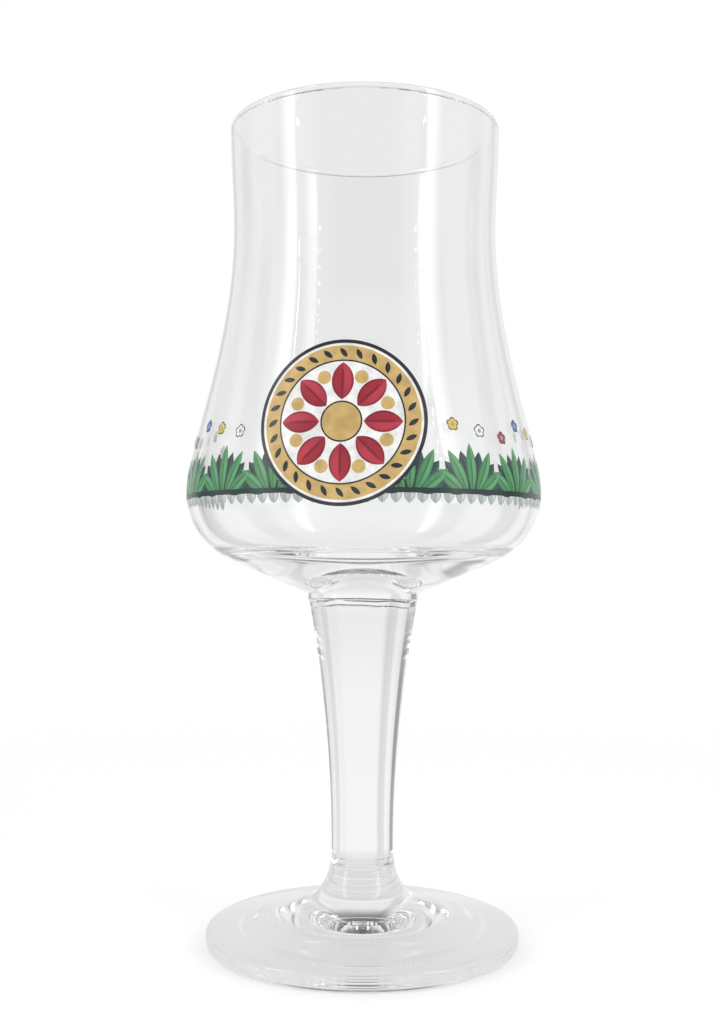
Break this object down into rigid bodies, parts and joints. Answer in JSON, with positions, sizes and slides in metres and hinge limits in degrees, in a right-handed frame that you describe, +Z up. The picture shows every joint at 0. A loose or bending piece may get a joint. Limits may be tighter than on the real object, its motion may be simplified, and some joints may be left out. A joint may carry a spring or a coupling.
{
  "type": "tulip beer glass",
  "caption": "Stemmed tulip beer glass with a flared lip, wide belly, thick floor, tapered solid stem and round foot, and a fired enamel medallion and leaf band on the bowl.",
  "frame": {"origin": "on the table, at the centre of the foot", "axes": "+Z up along the axis of the glass; the medallion faces -Y"},
  "size_m": [0.0782, 0.0782, 0.18],
  "materials": {
    "clear_glass": "fire-polished, clear",
    "enamel_dark": "fired enamel, glossy",
    "enamel_gold": "fired enamel, satin",
    "enamel_crimson": "fired enamel, glossy",
    "enamel_white": "fired enamel, glossy",
    "enamel_leaf": "fired enamel, glossy",
    "enamel_shade": "fired enamel, glossy",
    "enamel_ground": "fired enamel, glossy",
    "enamel_red": "fired enamel, glossy",
    "enamel_blue": "fired enamel, glossy",
    "enamel_yellow": "fired enamel, glossy"
  },
  "bodies": {
    "root": {"bowl": "clear_glass", "stem": "clear_glass", "foot": "clear_glass", "medallion_keyline": "enamel_dark", "medallion_gold": "enamel_gold", "medallion_crimson": "enamel_crimson", "medallion_white": "enamel_white", "frieze_leaf": "enamel_leaf", "frieze_shade": "enamel_shade", "frieze_ground": "enamel_ground", "blossom_red": "enamel_red", "blossom_blue": "enamel_blue", "blossom_yellow": "enamel_yellow", "blossom_white": "enamel_white"}
  },
  "joints": []
}
